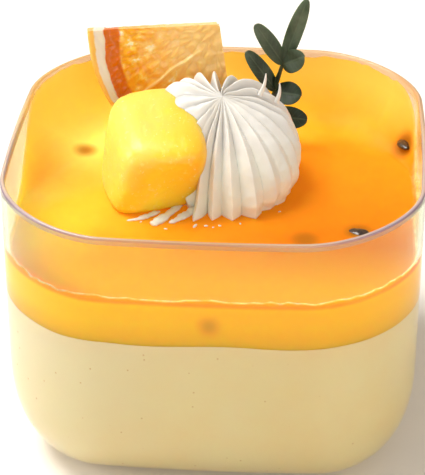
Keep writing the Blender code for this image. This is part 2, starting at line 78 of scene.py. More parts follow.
# At these headings in degrees: a ridge's depth and how far it swells out in millimetres, how high up it
# swells, how far it turns on its way up, how thin it is and how far its crest leans to the front
CREAM_HEADINGS = (-200, -160, -106, -77, -61, -44, -20, 6, 23, 41, 61, 76, 88, 113, 130, 149, 160)
RIDGE_DEPTHS = (0.3, 0.5, 2.1, 2.3, 1.7, 1.0, 0.8, 1.4, 5.0, 5.2, 5.2, 5.0, 4.6, 4.0, 2.5, 1.6, 0.3)
RIDGE_SWELLS = (0.6, 0.0, 0.0, 0.0, 0.0, 0.0, -0.6, -0.4, 0.2, 1.3, 1.4, 0.0, -0.2, -0.3, 0.8, 2.6, 0.6)
SWELL_BENDS = (1.0, 0.8, 0.8, 0.8, 0.8, 0.8, 0.8, 0.8, 0.8, 0.8, 0.8, 0.8, 0.8, 0.8, 0.9, 1.0, 1.0)
RIDGE_TURNS = (0.1, 0.1, 0.06, 0.05, 0.06, 0.1, 0.28, 0.75, 0.95, 0.95, 0.75, 0.5, 0.4, 0.2, 0.15, 0.1, 0.1)
RIDGE_THINNESS = (0.8, 0.8, 0.8, 0.8, 0.8, 0.8, 0.7, 0.8, 1.1, 1.3, 1.4, 1.6, 1.9, 1.9, 1.5, 1.2, 0.8)
RIDGE_LEANS = (1, 1, 1, 1, 1, 1, 0.95, 0.85, 0.8, 0.8, 0.85, 0.95, 1, 1, 1, 1, 1)
DEPTH_SHARE_OF_RADIUS, FRONT_SHARE_LESS, DEPTH_SHARE_OF_WIDTH = 0.42, 0.24, 1.2
# Five points along each smear and its radii there, in millimetres
CREAM_WISPS = (
    ((-6.1, -1.5), (-7.4, -4.8), (-8.9, -7.6), (-10.6, -10.6), (-12.0, -12.4), (0.45, 0.65, 0.85, 1.0, 1.05)),
    ((-10.9, -7), (-12, -8.1), (-13.4, -9.3), (-15, -10.3), (-17, -10.9), (0.35, 0.65, 0.7, 0.45, 0.2)),
    ((-3.6, -6.0), (-5.2, -7.5), (-6.6, -9.2), (-7.8, -10.6), (-8.8, -11.3), (1.2, 1.0, 0.8, 0.6, 0.35)),
)
WISP_FLATNESS = 0.6
# Each speck's place, half width and half length in millimetres, and its heading in degrees
CREAM_SPECKS = (
    (-3.7, -12.0, 0.30, 0.75, 70),
    (-1.6, -11.9, 0.28, 0.40, 10),
    (1.0, -11.6, 0.22, 0.35, 150),
    (-0.2, -12.3, 0.18, 0.25, 40),
    (4.9, -10.6, 0.18, 0.30, 100),
    (12.2, -5.6, 0.20, 0.30, 20),
    (-9.2, -13.5, 0.22, 0.38, 160),
    (-14.2, -11.2, 0.18, 0.30, 60),
)
# Each tail's foot and tip
CREAM_TAILS = (((7.3, 12.0, 60.4), (8.5, 12.0, 65.2)), ((10.6, 12.0, 59.0), (11.2, 12.0, 63.2)))

# Mango: the eight corners of its uneven block before rounding, in millimetres from the cup's axis
MANGO_SQUARENESS = 4.4
MANGO_CORNERS = {
    (-1, -1, -1): (-19.6, -10.6, 42.4),
    (1, -1, -1): (-3.4, -3.4, 42.4),
    (-1, 1, -1): (-25.4, 4.2, 42.4),
    (1, 1, -1): (-6.6, 14.2, 42.4),
    (-1, -1, 1): (-16.8, -11.4, 59.2),
    (1, -1, 1): (0.4, -10.6, 59.3),
    (-1, 1, 1): (-23.4, 11.9, 61.8),
    (1, 1, 1): (-6.8, 18.0, 62.1),
}

# Orange piece
ORANGE_RADIUS = 26.6 * MM
ORANGE_CENTRE = (-1.8 * MM, 26.8 * MM, 68.9 * MM)
ORANGE_TURN, ORANGE_LEAN = math.radians(8), math.radians(15)
ORANGE_START, ORANGE_END = math.radians(181), math.radians(277)
RIND_WIDTH, PITH_WIDTH, HOLLOW_WIDTH = 1.2 * MM, 1.8 * MM, 1.2 * MM
FLESH_THICK, HOLLOW_THICK, PITH_THICK = 3.2 * MM, 2.4 * MM, 3.86 * MM
RIND_THICK, EDGE_THICK = 4.2 * MM, 3.0 * MM
DRAWN_RADII, DRAWN_OUT = (0.0, 20.8, 23.5, 25.2, 26.6), (0.0, 2.0, 1.9, 1.37, 0.8)
MEMBRANE_SLOPE, MEMBRANE_LEVEL = 0.687, -2.46 * MM
# By share of the radius, 0 in the flesh through the band and the pith to 1 in the rind; then where each of
# these three sets in on that scale, and its colour
ORANGE_ZONES = ((0, 0), (0.75, 0), (0.775, 0.33), (0.868, 0.33), (0.885, 0.66), (0.942, 0.66), (0.96, 1))
# The first tint, the dark orange band, is painted shadow: the shade the raised pith and rind cast into the
# hollow beside them
ORANGE_TINTS = ((0.05, 0.30, (218, 110, 2)), (0.45, 0.60, (232, 220, 198)), (0.75, 0.95, (236, 184, 84)))

# Sprig
SPRIG_AT = (7.0 * MM, 22.9 * MM, 44.2 * MM)
STEM_RADIUS = 0.5 * MM
STEM_POINTS = ((-0.5, 0, -2.6), (0, 0, 0.8), (1.2, 0, 6.1), (2.9, -0.1, 12.2), (4.5, -0.1, 18.4))
LEAF_THICK, LEAF_FOLD, LEAF_CURL, LEAF_END_SHARE = 0.45 * MM, 0.10, 0.10, 0.10
# Each leaf's base and tip from the stem's foot, the way that it faces, and its width in millimetres
LEAVES = (
    ((4.5, -0.1, 17.8), (9.1, 0.5, 31.9), (-0.25, -0.95, 0.20), 3.4),
    ((4.4, -0.1, 17.9), (-1.2, -0.6, 26.7), (0.25, -0.85, 0.45), 3.6),
    ((4.3, -0.1, 17.6), (8.8, -2.4, 20.8), (0.07, -0.85, 0.52), 4.7),
    ((3.0, -0.1, 11.9), (-3.0, -0.4, 20.6), (0.30, -0.85, 0.40), 3.5),
    ((3.0, -0.1, 12.0), (4.2, 1.1, 17.1), (-0.95, 0.20, 0.20), 3.0),
    ((2.7, -0.1, 11.5), (8.3, -2.4, 11.9), (0.07, -0.75, 0.65), 5.0),
    ((1.1, 0.0, 5.8), (9.6, -0.9, 5.7), (0.07, -0.75, 0.65), 4.8),
)

# Seeds in the jelly: place in millimetres, heading and nose-down tilt in degrees
SEED_LENGTH, SEED_WIDTH, SEED_THICK = 4.4 * MM, 2.8 * MM, 1.5 * MM
SEEDS = (
    (36.6, 19.0, 46.4, 100, 6),
    (27.6, -12.0, 43.8, -14, 4),
    (17.4, -15.4, 43.1, 20, 0),
    (-28.7, 16.7, 42.6, 5, 6),
    (19.9, 34.0, 42.2, 30, 10),
    (1.0, -36.7, 39.6, 80, 4),
    (-34.6, -8.0, 40.4, 95, 12),
    (33.8, 4.0, 39.0, 60, 15),
    (-14.0, 34.0, 39.5, 10, 20),
    (-22.0, -26.0, 39.0, 130, 12),
    (24.0, -30.5, 38.6, 40, 10),
    (-33.0, 25.5, 38.8, 150, 8),
)
# The middle of a patch of painted shade on the jelly's top, left of the mango, that is deeper in colour
SHADE_PATCH_BESIDE_MANGO = (-29 * MM, 5 * MM, JELLY_TOP)


def colour(red, green, blue):
    """Linear colour from screen values of 0 to 255."""
    share = np.array((red, green, blue)) / 255
    linear = np.where(share <= 0.04045, share / 12.92, ((share + 0.055) / 1.055) ** 2.4)
    return (*linear.tolist(), 1.0)


# Surfaces


def grid(count, around, steps):
    """The quads of this many steps from row to row, each row closed on itself."""
    i = np.arange(steps)[:, None]
    j = np.arange(around)[None, :]
    k = (j + 1) % around
    after = (i + 1) % count * around
    i = i * around
    return np.stack((i + j, i + k, after + k, after + j), axis=-1).reshape(-1, 4)


def skin(name, rows, start=None, end=None):
    """A closed skin over rows of points, rows x points x 3; each row joins the next and closes on itself.

    start and end close the first and the last row; without them the last row joins the first.
    """
    count, around = rows.shape[:2]
    points = rows.reshape(-1, 3)
    faces = grid(count, around, count if start is None and end is None else count - 1).tolist()
    j = np.arange(around)
    k = (j + 1) % around
    last = (count - 1) * around
    for middle, one, other in ((start, k, j), (end, last + j, last + k)):
        if middle is not None:
            points = np.vstack((points, middle))
            faces += np.column_stack((np.full(around, len(points) - 1), one, other)).tolist()
    return piece(name, points, faces)


def piece(name, points, faces):
    mesh = bpy.data.meshes.new(name)
    mesh.from_pydata(points.tolist(), [], faces)
    mesh.update()
    mesh.shade_smooth()
    mesh.set_sharp_from_angle(angle=math.radians(48))
    made = bpy.data.objects.new(name, mesh)
    bpy.context.scene.collection.objects.link(made)
    return made


def ripple(points, size, seed, count=24):
    """Smooth noise from about -1 to 1: the mean of cosine waves of about this length in random directions."""
    random = np.random.RandomState(seed)
    heading = random.normal(size=(count, 3))
    heading /= np.linalg.norm(heading, axis=1, keepdims=True)
    wave = heading * (TURN / (size * random.uniform(0.7, 1.5, (count, 1))))
    phase = random.uniform(0, TURN, count)
    return np.cos(points @ wave.T + phase).sum(axis=-1) / math.sqrt(count)


def smooth_profile(points, count):
    """Catmull-Rom curve through (radius, height) points, sampled evenly in its parameter."""
    p = np.array(points, dtype=float)
    p = np.vstack((2 * p[0] - p[1], p, 2 * p[-1] - p[-2]))
    place = np.linspace(0, len(points) - 1, count)
    i = np.minimum(place.astype(int), len(points) - 2)
    t = (place - i)[:, None]
    a, b, c, d = p[i], p[i + 1], p[i + 2], p[i + 3]
    return 0.5 * (2 * b + (c - a) * t + (2 * a - 5 * b + 4 * c - d) * t**2 + (3 * b - a - 3 * c + d) * t**3)


def section(height, inset=0.0):
    """Half width, corner radius and bow of the cup's outside at each height, or of a surface set in from it.

    The wall is a straight line whose foot is pulled in along a superellipse; a set-in surface follows
    that curve's normal.
    """
    z = np.linspace(0, 1, 400) ** 2 * CUP_HEIGHT
    share = z / CUP_HEIGHT
    below = np.clip(1 - z / ROUND_HEIGHT, 0, 1)
    pull = ROUND_REACH * (1 - (1 - below**ROUND_POWER) ** (1 / ROUND_POWER))
    half = WALL_FOOT_HALF + (RIM_HALF - WALL_FOOT_HALF) * share - pull
    corner = FOOT_CORNER + (RIM_CORNER - FOOT_CORNER) * share - pull
    run, rise = np.gradient(half), np.gradient(z)
    length = np.hypot(run, rise)
    level = z + inset * run / length
    bow = FOOT_BOW + (RIM_BOW - FOOT_BOW) * np.asarray(height) / CUP_HEIGHT
    return (
        np.interp(height, level, half - inset * rise / length),
        np.interp(height, level, corner - inset * rise / length),
        bow,
    )


def outline(half, corner, bow):
    """Rounded squares, one a row: corner arcs, and sides that swell by bow x (1 - t^2), t along the side."""
    half, corner, bow = (np.atleast_1d(value).astype(float)[:, None] for value in (half, corner, bow))
    inner = half - bow
    flat = inner - corner
    on_arc = QUARTER_POINTS * 3 // 5
    turn = np.linspace(0, math.pi / 2, on_arc, endpoint=False)
    along = np.linspace(1, -1, QUARTER_POINTS - on_arc, endpoint=False)
    x = np.hstack((flat + corner * np.cos(turn), flat * along))
    y = np.hstack((flat + corner * np.sin(turn), inner + 0 * flat * along))
    x, y = np.hstack((x, -y, -x, y)), np.hstack((y, x, -y, -x))
    share_x, share_y = np.clip(np.abs(x) / inner, 0, 1), np.clip(np.abs(y) / inner, 0, 1)
    x, y = (
        x + np.sign(x) * bow * (1 - share_y**2) * share_x**4,
        y + np.sign(y) * bow * (1 - share_x**2) * share_y**4,
    )
    return x, y


def rings(height, inset=0.0, shrink=1.0):
    """Rows of points round the cup at these heights; shrink draws a row in towards the axis."""
    height = np.atleast_1d(height).astype(float)
    inset = np.broadcast_to(inset, height.shape)
    parts = [section(h, i) for h, i in zip(height, inset)]
    x, y = outline(*np.array(parts).T)
    shrink = np.broadcast_to(shrink, height.shape)[:, None]
    return np.stack((x * shrink, y * shrink, np.broadcast_to(height[:, None], x.shape)), axis=-1)


def round_levels(count):
    turn = np.linspace(0, math.pi / 2, count + 1)
    return ROUND_HEIGHT * (1 - np.cos(turn) ** (2 / ROUND_POWER))


def ease(count):
    """Shares from just above 0 to just under 1, for rows that close a flat end."""
    return np.linspace(0, 1, count + 1)[1:-1]


def make_cup():
    """One skin: the foot, the outer wall, a half-round lip, and back down the inner wall to the floor."""
    lip = WALL / 2
    edge = CUP_HEIGHT - lip
    turn = np.linspace(0, math.pi, LIP_ROWS + 1)
    outer = np.concatenate((round_levels(ROUND_ROWS), np.linspace(ROUND_HEIGHT, edge, WALL_ROWS)[1:]))
    inner_round = round_levels(ROUND_ROWS) + WALL
    inner = np.concatenate((np.linspace(edge, inner_round[-1], WALL_ROWS)[1:], inner_round[::-1][1:]))
    shrink = ease(FOOT_ROWS)
    rows = np.concatenate(
        (
            rings(np.zeros(len(shrink)), 0, shrink),
            rings(outer),
            rings(edge + lip * np.sin(turn[1:-1]), lip - lip * np.cos(turn[1:-1])),
            rings(np.full(1, edge), WALL),
            rings(inner, WALL),
            rings(np.full(len(shrink), WALL), WALL, shrink[::-1]),
        )
    )
    made = skin("clear_cup", rows, (0, 0, 0), (0, 0, WALL))
    first = len(shrink) + len(outer) - 1
    row = np.arange(len(made.data.polygons)) // rows.shape[1]
    lip_faces = (row >= first) & (row <= first + LIP_ROWS)
    made.data.polygons.foreach_set("material_index", lip_faces.astype(np.int32))
    outside = np.zeros(rows.shape[:2])
    outside[: first + LIP_ROWS // 2 - 1] = 1
    mark(made, "outside", np.append(outside.ravel(), (1, 0)))
    return made


def layer_waver(points):
    """How far the line between mousse and jelly wavers up and down along the wall."""
    return 0.18 * MM * ripple(points, 14 * MM, 3)


def make_mousse():
    """The pale layer: the cup's inside, filled to its top, whose edge wavers a little."""
    inset = WALL - INTO_WALL
    low = round_levels(ROUND_ROWS)
    levels = np.concatenate((low + inset, np.linspace(low[-1] + inset, MOUSSE_TOP, 10)[1:]))
    wall = rings(levels, inset)
    wall[-1, :, 2] += layer_waver(wall[-1])
    shrink = ease(FOOT_ROWS)
    floor = rings(np.full(len(shrink), inset), inset, shrink)
    top = wall[-1] * (shrink[::-1][:, None, None] * (1, 1, 0) + (0, 0, 1))
    middle = wall[-1, :, 2].mean()
    top[..., 2] = middle + (top[..., 2] - middle) * shrink[::-1][:, None]
    return skin("mousse_body", np.concatenate((floor, wall, top)), (0, 0, inset), (0, 0, middle))


def climbing_rows(shares, thick, top, low, high):
    """Rows up the cup's wall: each point goes a share of its own way from the jelly's top to its own top.

    low and high are the wall's rings at the jelly's top and at the rim; thick sets a row in from the wall.
    """
    rows = []
    for share, depth in zip(shares, thick):
        z = JELLY_TOP + (top - JELLY_TOP) * share
        part = ((z - low[0, :, 2]) / (high[0, :, 2] - low[0, :, 2]))[:, None]
        depth = np.broadcast_to(depth, z.shape)[:, None] / MM
        near = low[0] + (high[0] - low[0]) * part
        deep = low[1] + (high[1] - low[1]) * part
        row = near + (deep - near) * depth
        row[:, 2] = z
        rows.append(row)
    return np.stack(rows)


def wall_rings(inset):
    """The wall at the jelly's top and at the rim, each as two rings, set in by this and by 1 mm more."""
    low = np.concatenate((rings(JELLY_TOP, inset), rings(JELLY_TOP, inset + MM)))
    high = np.concatenate((rings(CUP_HEIGHT, inset), rings(CUP_HEIGHT, inset + MM)))
    return low, high


def cove_share(edge):
    """0 along the front wall and 1 along the back one, rising smoothly on the sides, sooner on the left."""
    middle = COVE_MIDDLE + COVE_SKEW * edge[:, 0] / RIM_HALF
    share = np.clip((edge[:, 1] - middle) / COVE_SPAN + 0.5, 0, 1)
    return share**2 * (3 - 2 * share)


def make_jelly():
    """A wall band on the mousse and a flat top whose edge climbs the wall as a quarter of an ellipse.

    At an angle u of that quarter the climb is rise x (1 - sin u) and the jelly stands reach x (1 - cos u) off
    the wall. Both are small in front and grow to a cove of about a centimetre along the back wall.
    """
    inset = WALL - INTO_WALL
    levels = np.linspace(MOUSSE_TOP - 0.05 * MM, JELLY_TOP, 10)
    wall = rings(levels, inset)
    waver = layer_waver(rings(MOUSSE_TOP, inset)[0])
    wall[..., 2] += waver * np.linspace(1, 0, len(levels))[:, None]
    edge = wall[-1]
    low, high = wall_rings(inset)
    back = cove_share(edge)
    uneven = 0.28 * ripple(edge, 9 * MM, 5) + 0.22 * ripple(edge, 2.6 * MM, 6)
    rise = MENISCUS_RISE * (1 + uneven) + back * COVE_RISE
    reach = MENISCUS_REACH + back * COVE_REACH
    shares = np.linspace(0, 1, 26) ** 0.8
    top = JELLY_TOP + rise
    outer = climbing_rows(shares[1:], np.zeros(len(shares) - 1), top, low, high)
    turn = np.linspace(0, math.pi / 2, 34)[:, None]
    film = INTO_WALL + 0.03 * MM + COVE_FILM * (1 - np.exp(-turn / 0.10)) * (1 - np.sin(turn) ** 4)
    inner = climbing_rows(1 - np.sin(turn[:, 0]), film + reach * (1 - np.cos(turn)), top, low, high)
    last = inner[-1]
    middle = last.mean(axis=0)
    shrink = np.concatenate((1 - np.array((0.4, 0.9, 1.5, 2.2, 3.2, 4.5)) / 38, np.linspace(0.85, 0.02, 22)))
    flat = np.stack([middle + (last - middle) * (share, share, 0) for share in shrink])
    flat[..., 2] = JELLY_TOP + 0.04 * MM * ripple(flat * (1, 1, 0), 17 * MM, 8) * (1 - shrink**6)[:, None]
    floor = np.stack([wall[0] * (share, share, 1) for share in ease(8)])
    rows = np.concatenate((floor, wall, outer, inner, flat))
    made = skin("jelly_layer", rows, (0, 0, MOUSSE_TOP - 0.05 * MM), (*middle[:2], JELLY_TOP))
    # Partly real bubbles, partly a painted highlight: a pale line where the jelly meets the wall, strongest
    # in front and at half strength along the sides, where it stands in for light caught by the meniscus
    froth_and_highlight = np.zeros(rows.shape[:2])
    first = len(floor) + len(wall)
    climbing = rows[first : first + len(outer) + len(inner), :, 2]
    below = top - climbing
    front = np.clip(-edge[:, 1] / (20 * MM) + 0.2, 0, 1)
    beside = np.clip(1.8 - edge[:, 1] / (18 * MM), 0, 1)
    width = (0.30 + 0.6 * (1 - front)) * MM
    where = np.maximum(front, 0.5 * beside)
    froth_and_highlight[first : first + len(climbing)] = np.clip(1.3 - below / width, 0, 1) * where
    mark(made, "froth_and_painted_highlight", np.append(froth_and_highlight.ravel(), (0, 0)))
    return made


def mark(made, name, per_point):
    """Writes one number a point, which a finish can read by name."""
    layer = made.data.attributes.new(name, "FLOAT", "POINT")
    layer.data.foreach_set("value", np.asarray(per_point, dtype=np.float32))


def facing_shares(angle):
    """How far each direction belongs to the cream's pleated front, right side, lobed back and left side."""
    share = np.clip(np.cos(angle[:, None] - CREAM_FACES), 0.02, 1)
    return share / share.sum(axis=1, keepdims=True)


def ridge_angles():
    """For every point round the cream: angle, place across its ridge, the ridge's width and number."""
    after = np.append(RIDGE_CRESTS, RIDGE_CRESTS[0] + TURN)
    edge = (after[:-1] + after[1:]) / 2
    start = np.concatenate(([edge[-1] - TURN], edge[:-1]))
    across = np.arange(POINTS_PER_RIDGE) / POINTS_PER_RIDGE
    angle = start[:, None] + (edge - start)[:, None] * across
    number = np.repeat(np.arange(len(edge)), POINTS_PER_RIDGE)
    return angle.ravel(), np.tile(across, len(edge)), (edge - start)[number], number


def make_cream():
    """Four profiles blended round the axis; each ridge falls from its crest to a groove before the next.

    The front's crests are sharp with rounded flutes, (1 - |2t - 1|)^1.5; the others are round with sharp
    grooves, sin(pi t^lean)^thinness. Every ridge has its own depth and its own reach at the foot.
    """
    angle, across, width, number = ridge_angles()
    random = np.random.RandomState(21)
    shares = facing_shares(angle)
    heading = (np.degrees(angle) + 200) % 360 - 200

    def at(values):
        """A value for every point, read from a row of values at the headings."""
        return np.interp(heading, CREAM_HEADINGS, values)

    sharp = (1 - np.abs(2 * across - 1)) ** 1.5
    rounded = np.sin(math.pi * across ** at(RIDGE_LEANS)) ** at(RIDGE_THINNESS)
    crest = shares[:, 0] * sharp + (1 - shares[:, 0]) * rounded
    sides = (CREAM_FRONT, CREAM_SIDE, CREAM_BACK, CREAM_LEFT)
    curves = np.stack([smooth_profile(side, CREAM_ROWS) for side in sides]) * MM
    profile = np.einsum("as,skc->akc", shares, curves)
    slope = np.gradient(profile, axis=1)
    normal = np.stack((slope[..., 1], -slope[..., 0]), axis=2) / np.linalg.norm(slope, axis=2)[..., None]
    own = random.uniform(0.85, 1.15, len(RIDGE_CRESTS))[number]
    share = DEPTH_SHARE_OF_RADIUS - FRONT_SHARE_LESS * shares[:, 0]
    limit = np.minimum(share, DEPTH_SHARE_OF_WIDTH * width)[:, None]
    depth = at(RIDGE_DEPTHS) * MM
    depth = np.minimum((own * depth)[:, None], limit * profile[..., 0])
    climb = np.linspace(0, 1, CREAM_ROWS)
    toe = np.array(CREAM_TOES)[number] * MM
    height = climb ** at(SWELL_BENDS)[:, None]
    swell = at(RIDGE_SWELLS)[:, None] * MM * np.sin(math.pi * height) ** 1.5
    moved = profile + normal * (swell - depth * (1 - crest[:, None]))[..., None]
    moved[..., 0] += (toe * crest**0.5)[:, None] * np.exp(-climb / 0.10)
    moved[..., 1] = np.maximum(moved[..., 1], 0)
    moved = np.concatenate((moved[:, :1] * (1, 0), moved), axis=1)
    climb = np.concatenate(([0], climb))
    turned = angle[:, None] + at(RIDGE_TURNS)[:, None] * climb**3
    x = CREAM_AT[0] + CREAM_APEX_SHIFT[0] * climb**2 + moved[..., 0] * np.cos(turned)
    y = CREAM_AT[1] + CREAM_APEX_SHIFT[1] * climb**2 + moved[..., 0] * np.sin(turned)
    rows = np.stack((x, y, JELLY_TOP + moved[..., 1]), axis=-1).transpose(1, 0, 2)
    uneven = 0.10 * MM * ripple(rows, 5 * MM, 31) + 0.04 * MM * ripple(rows, 1.6 * MM, 32)
    away = rows - (*CREAM_AT, JELLY_TOP + 6 * MM)
    away /= np.linalg.norm(away, axis=-1, keepdims=True)
    fade = np.minimum(climb * 8, 1)[:, None] * np.minimum((1 - climb) * 12, 1)[:, None]
    rows = rows + away * (uneven * fade)[..., None]
    made = skin("piped_cream", rows[:-1], (*CREAM_AT, JELLY_TOP), rows[-1].mean(axis=0))
    # The troughs and grooves carry painted light: warm light from the jelly in the front troughs, shade in
    # the upper back grooves
    ahead = np.clip(np.cos(angle + math.radians(75)) * 1.6, 0, 1)
    trough = (1 - crest) * ahead * np.clip(1.25 - climb[:-1, None] * 1.9, 0, 1)
    mark(made, "trough", np.append(trough.ravel(), (0, 0)))
    groove = (1 - crest) * (1 - ahead) * np.clip(2.4 * climb[:-1, None] - 0.6, 0, 1)
    mark(made, "groove", np.append(groove.ravel(), (0, 0)))
    return made


def tube(name, path, radius, flat=1.0, floor=None, around=20):
    """A tube along path x points with round ends; flat squeezes its height and floor cuts it off below."""
    step = np.gradient(path, axis=0)
    step /= np.linalg.norm(step, axis=1, keepdims=True)
    lean = (0, 0, 1) if abs(step[:, 2]).mean() < 0.7 else (0, 1, 0)
    side = np.cross(step, lean)
    side /= np.linalg.norm(side, axis=1, keepdims=True)
    up = np.cross(side, step)
    turn = np.linspace(0, TURN, around, endpoint=False)
    ring = side[:, None] * np.cos(turn)[:, None] + flat * up[:, None] * np.sin(turn)[:, None]
    rows = path[:, None] + ring * np.asarray(radius)[:, None, None]
    if floor is not None:
        rows[..., 2] = np.maximum(rows[..., 2], floor)
    return skin(name, rows, rows[0].mean(axis=0), rows[-1].mean(axis=0))


def make_wisps():
    """Smears of cream on the jelly, specks about them and two thin tails that stand up from the back."""
    made = []
    t = np.linspace(0, 1, 40)
    cap = np.sqrt(np.clip(1 - (2 * t - 1) ** 12, 0.01, 1))
    for number, wisp in enumerate(CREAM_WISPS, 1):
        x, y = smooth_profile(wisp[:5], len(t)).T * MM
        radius = np.interp(t, np.linspace(0, 1, 5), wisp[5]) * MM * cap
        radius = radius * (1 + 0.12 * np.sin(17 * t + 2 * number) + 0.08 * np.sin(41 * t))
        path = np.stack((x, y, JELLY_TOP + 0.35 * WISP_FLATNESS * radius), axis=-1)
        made.append(tube(f"cream_wisp_{number}", path, radius, WISP_FLATNESS, JELLY_TOP - 0.05 * MM))
    for number, (x, y, wide, length, heading) in enumerate(CREAM_SPECKS, 1):
        way = np.array((math.cos(math.radians(heading)), math.sin(math.radians(heading)), 0))
        s = np.linspace(-1, 1, 12)
        path = np.array((x, y, 0)) * MM + way * s[:, None] * length * MM
        path[:, 2] = JELLY_TOP + 0.1 * wide * MM
        radius = wide * MM * np.sqrt(np.clip(1 - s**2, 0.02, 1))
        made.append(tube(f"cream_speck_{number}", path, radius, 0.7, JELLY_TOP - 0.05 * MM, 12))
    for number, (low, high) in enumerate(CREAM_TAILS, 1):
        low, high = np.array(low) * MM, np.array(high) * MM
        path = low + (high - low) * t[:, None]
        path[:, 0] += 0.3 * MM * np.sin(math.pi * t)
        made.append(tube(f"cream_tail_{number}", path, MM * (0.42 * (1 - t) ** 0.7 + 0.07)))
    return made


def make_mango():
    """A superellipsoid, sum |axis|^n = 1, stretched evenly between eight corners and pressed flat below."""
    up = np.linspace(-math.pi / 2, math.pi / 2, 120)[1:-1, None]
    around = np.linspace(0, TURN, 160, endpoint=False)[None, :]
    heading = np.stack(
        (np.cos(up) * np.cos(around), np.cos(up) * np.sin(around), np.sin(up) + 0 * around), axis=-1
    )

    def shape(direction):
        size = (np.abs(direction) ** MANGO_SQUARENESS).sum(axis=-1, keepdims=True) ** (1 / MANGO_SQUARENESS)
        unit = direction / size
        knife = 0.009 * ripple(unit, 1.1, 41) + 0.002 * ripple(unit * (3, 0.8, 3), 0.5, 42)
        unit = unit * (1 + knife)[..., None]
        place = sum(
            np.prod((1 + unit * signs) / 2, axis=-1, keepdims=True) * np.array(corner) * MM
            for signs, corner in MANGO_CORNERS.items()
        )
        place[..., 2] = np.maximum(place[..., 2], JELLY_TOP + 0.5 * GAP)
        return place

    low, high = shape(np.array(((0, 0, -1.0), (0, 0, 1.0))))
    return skin("mango_cube", shape(heading), low, high)


def tilt_into_place(points):
    """Carries the orange's own plane, X across and Z up, to where it stands."""
    turn = Matrix.Rotation(ORANGE_TURN, 3, "Z") @ Matrix.Rotation(-ORANGE_LEAN, 3, "X")
    return points @ np.array(turn).T + np.array(ORANGE_CENTRE)


def juice_cells(radius, angle, seed, count=240):
    """Height of the juice sacs, 0 in the creases to 1: distance to the nearest of many scattered points.

    Distances are counted long along the radius and short across it, so the sacs point at the centre.
    """
    random = np.random.RandomState(seed)
    r = np.sqrt(random.uniform(0.01, 1, count)) * ORANGE_RADIUS
    a = random.uniform(ORANGE_START - 0.1, ORANGE_END + 0.1, count)
    along = (radius[..., None] - r) / (2.4 * MM)
    sideways = (angle[..., None] - a) * radius[..., None] / (1.5 * MM)
    nearest = np.sort(np.hypot(along, sideways), axis=-1)[..., :2]
    return np.clip((nearest[..., 1] - nearest[..., 0]) * 1.6, 0, 1)


def membrane_distance(x, z):
    """Distance to the one membrane that shows, a wavering line across the flesh in the slice's plane."""
    waver = 0.25 * MM * np.sin(x / (2.1 * MM)) + 0.15 * MM * np.sin(x / (0.8 * MM) + 1)
    return np.abs(z - MEMBRANE_SLOPE * x - MEMBRANE_LEVEL - waver) / math.hypot(1, MEMBRANE_SLOPE)


def make_orange():
    """The slice: a half section swept round its centre, its flesh raised into juice sacs and a thin membrane.

    At the lower left the rind runs nearly straight, so that side is drawn out and its rings come closer.
    """
    rind_in = ORANGE_RADIUS - RIND_WIDTH
    pith_in = rind_in - PITH_WIDTH
    edge = pith_in - HOLLOW_WIDTH
    flesh_part, band_part = np.linspace(0.4 * MM, edge, 64), np.linspace(edge, pith_in, 6)[1:]
    radius = np.concatenate((flesh_part, band_part, np.linspace(pith_in, ORANGE_RADIUS, 9)[1:]))
    thick = np.interp(
        radius,
        (0, 0.80 * pith_in, edge, pith_in, rind_in, ORANGE_RADIUS - 0.2 * MM, ORANGE_RADIUS),
        (FLESH_THICK, FLESH_THICK, HOLLOW_THICK, PITH_THICK, RIND_THICK, 3.6 * MM, EDGE_THICK),
    )
    angle = np.linspace(ORANGE_START, ORANGE_END, 150)[:, None]
    r = radius[None, :] + 0 * angle
    flesh = np.clip((pith_in - r) / (0.6 * MM), 0, 1) * np.clip(r / (2.5 * MM), 0, 1)
    share = np.clip((np.degrees(angle) - 187) / 27, 0, 1) * np.clip((262 - np.degrees(angle)) / 30, 0, 1)
    stretched_out = r + share * np.interp(r, np.array(DRAWN_RADII) * MM, np.array(DRAWN_OUT) * MM)
    off_line = membrane_distance(stretched_out * np.cos(angle), stretched_out * np.sin(angle))
    membrane = np.exp(-((off_line / (0.30 * MM)) ** 2)) * np.clip((stretched_out - 5 * MM) / (3 * MM), 0, 1)
    sides = []
    for way, seed in ((1, 51), (-1, 52)):
        cells = juice_cells(r, angle + 0 * r, seed)
        lift = (0.40 * (cells - 0.6) * (1 - membrane) + 0.25 * membrane) * MM * flesh
        lift += 0.10 * MM * ripple(np.stack((r, r * angle, 0 * r), -1), 4 * MM, seed + 5)
        sides.append((stretched_out, way * (thick[None, :] / 2 + lift)))
    out, lifted = (np.hstack((front, back[:, ::-1])) for front, back in zip(*sides))
    rows = tilt_into_place(np.stack((out * np.cos(angle), -lifted, out * np.sin(angle)), axis=-1))
    count, around = rows.shape[:2]
    quads = grid(count, around, count - 1)
    step = np.arange(around // 2 - 1)
    first = np.column_stack((step + 1, step, around - 1 - step, around - 2 - step))
    last = first[:, ::-1] + (count - 1) * around
    made = piece("orange_piece", rows.reshape(-1, 3), np.vstack((quads, first, last)).tolist())
    radial = np.hstack((r, r[:, ::-1])) / ORANGE_RADIUS
    off_line = np.hstack((off_line, off_line[:, ::-1]))
    mark(made, "off_membrane", off_line.ravel() + 20 * MM * (radial.ravel() < 0.22))
    turned = np.broadcast_to((angle - ORANGE_START) / (ORANGE_END - ORANGE_START), radial.shape)
    lay_uv(made, np.stack((radial, turned), axis=-1).reshape(-1, 2))
    return made


def lay_uv(made, per_point):
    """Writes one UV pair a point, so that a pattern can follow the surface."""
    mesh = made.data
    corner = np.empty(len(mesh.loops), dtype=np.int32)
    mesh.loops.foreach_get("vertex_index", corner)
    layer = mesh.uv_layers.new(name="along_surface")
    layer.data.foreach_set("uv", per_point[corner].astype(np.float32).ravel())


